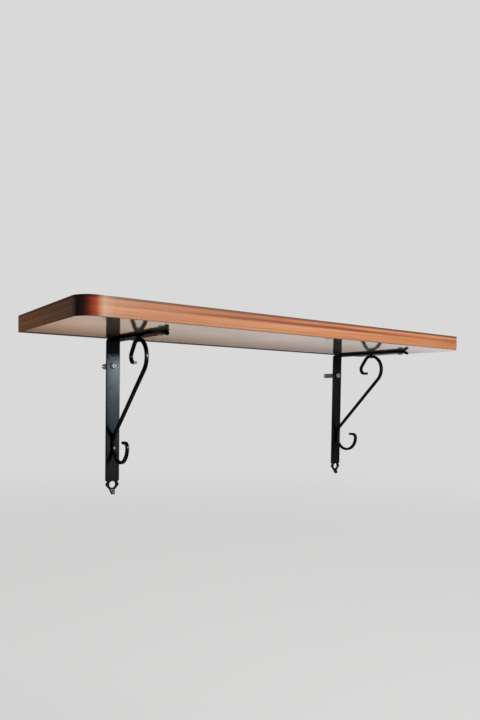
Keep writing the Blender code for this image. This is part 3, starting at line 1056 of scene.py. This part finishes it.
def build_plug(cad_node, plastic):
    """A ribbed sleeve, slit in four over its far part."""
    low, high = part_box(cad_node)
    length, radius = high.y - low.y, (high.x - low.x) / 2
    inner = WALL_SCREW["radius"] + GAP
    pitch = length / PLUG_RIBS
    profile = [(inner + PLUG_RIB, 0.0), (radius, 0.0)]
    for i in range(PLUG_RIBS):
        profile.append((radius, -(i + RIB_END) * pitch))
        profile.append((radius - PLUG_RIB, -(i + GROOVE_START) * pitch))
        profile.append((radius - PLUG_RIB, -(i + GROOVE_END) * pitch))
        if i < PLUG_RIBS - 1:
            profile.append((radius, -(i + 1) * pitch))
    profile += [(radius - 2 * PLUG_RIB, -length), (inner, -length), (inner, -PLUG_RIB)]
    plug = turned(f"{cad_node}_ribbed", profile)
    slits = []
    past_sleeve = 3 * radius
    middle = -(PLUG_WHOLE + 0.5) * length
    for turn, size in enumerate(((PLUG_SLIT, past_sleeve), (past_sleeve, PLUG_SLIT))):
        shape = bmesh.new()
        bmesh.ops.create_cube(shape, size=1.0)
        bmesh.ops.scale(shape, verts=shape.verts, vec=(*size, length))
        bmesh.ops.translate(shape, verts=shape.verts, vec=(0.0, 0.0, middle))
        slits.append(add_piece(f"{cad_node}_slit_{turn}", shape))
    cut(plug, slits)
    seat(plug, cad_node, 0.0, "out")
    stand_for(plug, cad_node, plastic)


def build_bracket(side, underside, iron, coating, recess_shade_coating, plastic):
    middle = centre_of(f"{side}_bar").x
    turn = Matrix.Rotation(-pi / 2, 4, "Z") @ Matrix.Rotation(pi / 2, 4, "X")
    at_bracket = Matrix.Translation((middle, 0.0, underside)) @ turn
    bar_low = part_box(f"{side}_bar")[0]
    leg_length, arm_length = underside - bar_low.z, -bar_low.y
    rivet_height = centre_of(f"{side}_leg_rivet").z - underside
    rivet_reach = -centre_of(f"{side}_arm_rivet").y

    build_bar(side, leg_length, arm_length, rivet_height, rivet_reach, at_bracket, iron)
    build_scroll(side, at_bracket, iron)
    build_rivet(f"{side}_leg_rivet", "out", iron)
    build_rivet(f"{side}_arm_rivet", "down", iron)
    build_screw(f"{side}_wall_screw", WALL_SCREW, "out", coating, recess_shade_coating)
    build_screw(f"{side}_board_screw", BOARD_SCREW, "down", coating, recess_shade_coating)
    build_plug(f"{side}_wall_plug", plastic)


# Stage


def build_floor():
    """A pale round floor that fades into the background. It doesn't light the shelf, which doesn't
    mirror it either."""
    shape = bmesh.new()
    bmesh.ops.create_circle(shape, cap_ends=True, segments=FLOOR_STEPS, radius=FLOOR_RADIUS)
    floor = add_piece("floor", shape)
    floor.location = (0.0, 0.0, FLOOR_HEIGHT)
    floor.visible_diffuse = floor.visible_glossy = False
    made, tree, shader = new_material("floor", roughness=0.9)
    place = mapped(tree, (1.0, 1.0, 1.0))
    mottle = noise_texture(tree, place, detail=2.0, scale=3.0)
    stops = [(0.3, grey(FLOOR_GREY * FLOOR_MOTTLE)), (0.7, grey(FLOOR_GREY))]
    colour = ramp(tree, mottle, stops)
    tree.links.new(colour, shader.inputs["Base Color"])
    shader.inputs["Emission Color"].default_value = (1.0, 1.0, 1.0, 1.0)
    shader.inputs["Emission Strength"].default_value = FLOOR_GLOW
    from_middle = node(tree, "ShaderNodeVectorMath", {0: place}, operation="LENGTH").outputs["Value"]
    fade_start, fade_end = (FLOOR_RADIUS * share for share in FLOOR_FADE)
    fade = smooth_range(tree, from_middle, fade_start, fade_end, to_low=1.0, to_high=0.0)
    tree.links.new(fade, shader.inputs["Alpha"])
    floor.data.materials.append(made)


def wall_shade(tree, towards_wall, height):
    """The brown shade low behind the shelf, as a tint that depends on how steeply a direction drops
    towards the wall. The glossy underside mirrors it near the wall."""
    below = math(tree, "MULTIPLY", height, -1.0)
    nearly_sideways = 0.02  # keeps the quotient finite in directions that don't go to the wall
    drop = math(tree, "DIVIDE", below, math(tree, "MAXIMUM", towards_wall, nearly_sideways))
    stops = [(steepness / STEEPEST_SHADE, (*tint, 1.0)) for steepness, tint in SHADE]
    return ramp(tree, math(tree, "DIVIDE", drop, STEEPEST_SHADE), stops)


def surround(tree, towards_right, towards_wall, height):
    """The colour that lights the shelf from a direction: dark in the room and on the left, warm
    straight behind the shelf, and pale to bluish further right."""
    azimuth = math(tree, "ARCTAN2", towards_right, towards_wall)
    share = math(tree, "DIVIDE", math(tree, "ADD", azimuth, pi), 2 * pi)
    colour = ramp(tree, share, [((degrees + 180) / 360, (*tint, 1.0)) for degrees, tint in SURROUND])
    return mix(tree, 1.0, colour, wall_shade(tree, towards_wall, height), blend="MULTIPLY")


def build_world():
    """The camera sees a pale even background. The shelf is lit by the surround instead, which is
    dimmer high up and low down."""
    world = bpy.data.worlds.new("studio")
    bpy.context.scene.world = world
    world.use_nodes = True
    tree = world.node_tree
    tree.nodes.clear()
    direction = node(tree, "ShaderNodeTexCoord").outputs["Generated"]
    right, wall, height = node(tree, "ShaderNodeSeparateXYZ", {"Vector": direction}).outputs
    colour = surround(tree, right, wall, height)
    high_up = smooth_range(tree, height, low=0.05, high=0.6, to_low=1.0, to_high=0.55)
    low_down = smooth_range(tree, height, low=-0.5, high=-0.17, to_low=0.36, to_high=1.0)
    strength = math(tree, "MULTIPLY", high_up, low_down)
    light = node(tree, "ShaderNodeBackground", {"Color": colour, "Strength": strength})
    seen = node(tree, "ShaderNodeBackground", {"Color": srgb(*BACKGROUND), "Strength": 1.0})
    camera_ray = node(tree, "ShaderNodeLightPath").outputs["Is Camera Ray"]
    shown = node(tree, "ShaderNodeMixShader", {0: camera_ray, 1: light.outputs[0], 2: seen.outputs[0]})
    node(tree, "ShaderNodeOutputWorld", {"Surface": shown.outputs[0]})


def add_area_light(name, azimuth, elevation, distance, size, power, colour, target=SHELF_MIDDLE):
    """A soft box aimed at the target. Its azimuth, in degrees, runs from the room's side (-Y) towards
    the right (+X)."""
    turn, lift = radians(azimuth), radians(elevation)
    away = Vector((sin(turn) * cos(lift), -cos(turn) * cos(lift), sin(lift)))
    light = bpy.data.lights.new(name, "AREA")
    light.shape = "RECTANGLE"
    light.size, light.size_y = size
    light.energy = power
    light.color = colour
    obj = bpy.data.objects.new(name, light)
    bpy.context.scene.collection.objects.link(obj)
    obj.location = Vector(target) + distance * away
    obj.rotation_euler = away.to_track_quat("Z", "Y").to_euler()


def build_lights():
    """A warm key from the upper right, a small cool light that makes the left leg shine, and a weak
    fill from the left."""
    add_area_light(
        "key",
        azimuth=30,
        elevation=50,
        distance=2.6,
        size=(1.1, 1.1),
        power=74,
        colour=(1.0, 0.98, 0.95),
    )
    add_area_light(
        "leg_sheen",
        azimuth=27,
        elevation=9,
        distance=2.0,
        size=(0.25, 0.20),
        power=10.0,
        colour=(0.90, 0.96, 1.0),
        target=LEFT_LEG,
    )
    add_area_light(
        "fill",
        azimuth=-70,
        elevation=15,
        distance=2.6,
        size=(1.8, 1.8),
        power=5,
        colour=(1.0, 0.97, 0.95),
    )


def build_camera():
    lens = bpy.data.cameras.new("camera")
    lens.lens = CAMERA_LENS
    lens.sensor_width = CAMERA_SENSOR
    lens.shift_x, lens.shift_y = CAMERA_SHIFT
    camera = bpy.data.objects.new("camera", lens)
    bpy.context.scene.collection.objects.link(camera)
    turn = Matrix.Rotation(-CAMERA_YAW, 4, "Z") @ Matrix.Rotation(pi / 2 + CAMERA_PITCH, 4, "X")
    roll = Matrix.Rotation(CAMERA_ROLL, 4, "Z")
    camera.matrix_world = Matrix.Translation(CAMERA_LOCATION) @ turn @ roll
    bpy.context.scene.camera = camera


build_camera()
build_world()
build_lights()
build_floor()
build_board()
shared = (black_iron(), zinc(), recess_painted_shade(), pale_nylon())
for bracket_side in SIDES:
    build_bracket(bracket_side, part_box("edge_band")[0].z, *shared)
bpy.context.scene.view_settings.view_transform = "Standard"
